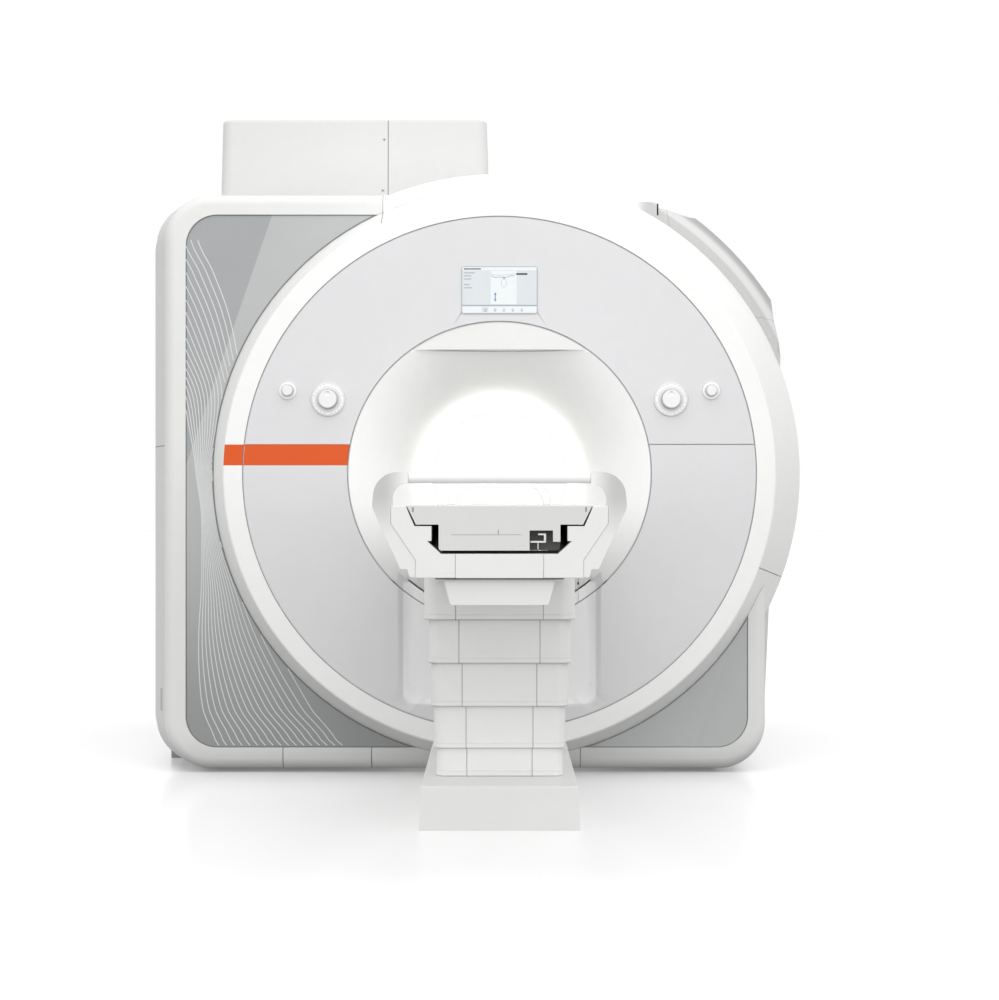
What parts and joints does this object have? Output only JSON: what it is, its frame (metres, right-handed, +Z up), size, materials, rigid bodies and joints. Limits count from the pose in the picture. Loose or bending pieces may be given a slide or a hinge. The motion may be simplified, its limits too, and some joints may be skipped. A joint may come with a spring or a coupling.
{
  "type": "mri scanner",
  "caption": "Closed-bore magnetic resonance scanner with flared gantry covers, a lifting patient table and a tabletop that feeds through the bore.",
  "frame": {"origin": "on the floor, directly under the isocentre, at the centre of the magnet's four anchor holes", "axes": "+Y along the bore away from the patient table, +X to the right of a person facing the patient end, +Z up"},
  "size_m": [2.452, 4.46, 2.517],
  "materials": {
    "cover_white": "satin moulded cover",
    "disk_grey": "satin painted front cover",
    "bore_white": "satin bore moulding",
    "decor_grey": "glossy decor panel",
    "side_grey": "satin side cover",
    "plinth_metal": "painted steel frame",
    "bezel_grey": "thin grey bezel",
    "screen": "display glass over a lit panel",
    "control_white": "moulded control",
    "vessel_steel": "welded stainless steel",
    "shield_aluminium": "bare aluminium",
    "coil_copper": "wound copper matrix",
    "rod_epoxy": "glass-epoxy rod",
    "gradient_body": "resin-cast conductor tube",
    "foot_iron": "painted iron",
    "frame_aluminium": "extruded frame",
    "rail_plastic": "low-friction rail",
    "table_white": "satin table cover",
    "frame_steel": "painted steel",
    "chassis_paint": "dark anodised beam",
    "handle_white": "satin grip",
    "drive_black": "sealed drive unit",
    "tabletop_shell": "fibre composite shell",
    "arch_clear": "translucent bow"
  },
  "bodies": {
    "gantry": {"front_ring": "cover_white", "flare_upper": "cover_white", "flare_lower": "cover_white", "front_cover_upper": "disk_grey", "front_cover_lower": "disk_grey", "front_funnel": "bore_white", "bore_liner": "bore_white", "rear_funnel": "bore_white", "rear_cover": "cover_white", "panel_left": "decor_grey", "panel_right": "decor_grey", "rim_left": "cover_white", "rim_bottom": "cover_white", "rim_right": "cover_white", "side_cover_left_upper": "side_grey", "side_cover_left_lower": "side_grey", "side_cover_right": "side_grey", "top_cover": "cover_white", "corner_fairing": "side_grey", "turret_cover_left": "cover_white", "turret_cover_right": "cover_white", "base_plinth": "plinth_metal", "display_bezel": "bezel_grey", "display_screen": "screen", "control_bezels": "control_white", "vacuum_vessel": "vessel_steel", "thermal_shield": "shield_aluminium", "helium_vessel": "vessel_steel", "magnet_coils": "coil_copper", "suspension_rods": "rod_epoxy", "gradient_coil": "gradient_body", "rf_body_coil": "coil_copper", "magnet_feet": "foot_iron", "cold_head": "shield_aluminium", "quench_pipe": "vessel_steel", "cover_frame": "frame_aluminium", "bore_rails": "rail_plastic", "table_plinth": "table_white", "mast_outer": "frame_steel", "column_cover_5": "table_white"},
    "table_lift": {"table_chassis": "chassis_paint", "table_side_covers": "table_white", "end_cover": "table_white", "end_centre_cover": "table_white", "under_pan": "table_white", "handle_bar": "handle_white", "handle_arms": "handle_white", "tabletop_drive": "drive_black", "column_cover_1": "table_white", "mast_inner": "frame_steel"},
    "column_2": {"column_cover_2": "table_white"},
    "column_3": {"column_cover_3": "table_white"},
    "column_4": {"column_cover_4": "table_white"},
    "mast_mid": {"mast_middle": "frame_steel"},
    "patient_top": {"tabletop": "tabletop_shell", "head_arch": "arch_clear"},
    "jog_left": {"jog_knob_left": "control_white"},
    "jog_right": {"jog_knob_right": "control_white"},
    "stop_left": {"stop_button_left": "control_white"},
    "stop_right": {"stop_button_right": "control_white"}
  },
  "joints": [
    {"name": "table_height", "type": "slide", "parent": "gantry", "child": "table_lift", "axis": [0, 0, 1], "range_m": [-0.48, 0]},
    {"name": "column_2_slide", "type": "slide", "parent": "gantry", "child": "column_2", "axis": [0, 0, 1], "range_m": [-0.3431, 0.0001]},
    {"name": "column_3_slide", "type": "slide", "parent": "gantry", "child": "column_3", "axis": [0, 0, 1], "range_m": [-0.2071, 0.0001]},
    {"name": "column_4_slide", "type": "slide", "parent": "gantry", "child": "column_4", "axis": [0, 0, 1], "range_m": [-0.0751, 0.0001]},
    {"name": "mast_mid_slide", "type": "slide", "parent": "gantry", "child": "mast_mid", "axis": [0, 0, 1], "range_m": [-0.2401, 0.0001]},
    {"name": "tabletop_feed", "type": "slide", "parent": "table_lift", "child": "patient_top", "axis": [0, 1, 0], "range_m": [0, 2.1]},
    {"name": "jog_left_turn", "type": "hinge", "parent": "gantry", "child": "jog_left", "pos_m": [-0.62, -1.08, 1.367], "axis": [0, 1, 0], "range_deg": [-40, 40], "stiffness_Nm_per_rad": 0.3},
    {"name": "jog_right_turn", "type": "hinge", "parent": "gantry", "child": "jog_right", "pos_m": [0.62, -1.08, 1.367], "axis": [0, 1, 0], "range_deg": [-40, 40], "stiffness_Nm_per_rad": 0.3},
    {"name": "stop_left_push", "type": "slide", "parent": "gantry", "child": "stop_left", "axis": [0, 1, 0], "range_m": [0, 0.005], "stiffness_N_per_m": 900},
    {"name": "stop_right_push", "type": "slide", "parent": "gantry", "child": "stop_right", "axis": [0, 1, 0], "range_m": [0, 0.005], "stiffness_N_per_m": 900}
  ],
  "couplings": [
    {"joint": "column_2_slide", "follows": "table_height", "ratio": 0.71458},
    {"joint": "column_3_slide", "follows": "table_height", "ratio": 0.43125},
    {"joint": "column_4_slide", "follows": "table_height", "ratio": 0.15625},
    {"joint": "mast_mid_slide", "follows": "table_height", "ratio": 0.5}
  ]
}
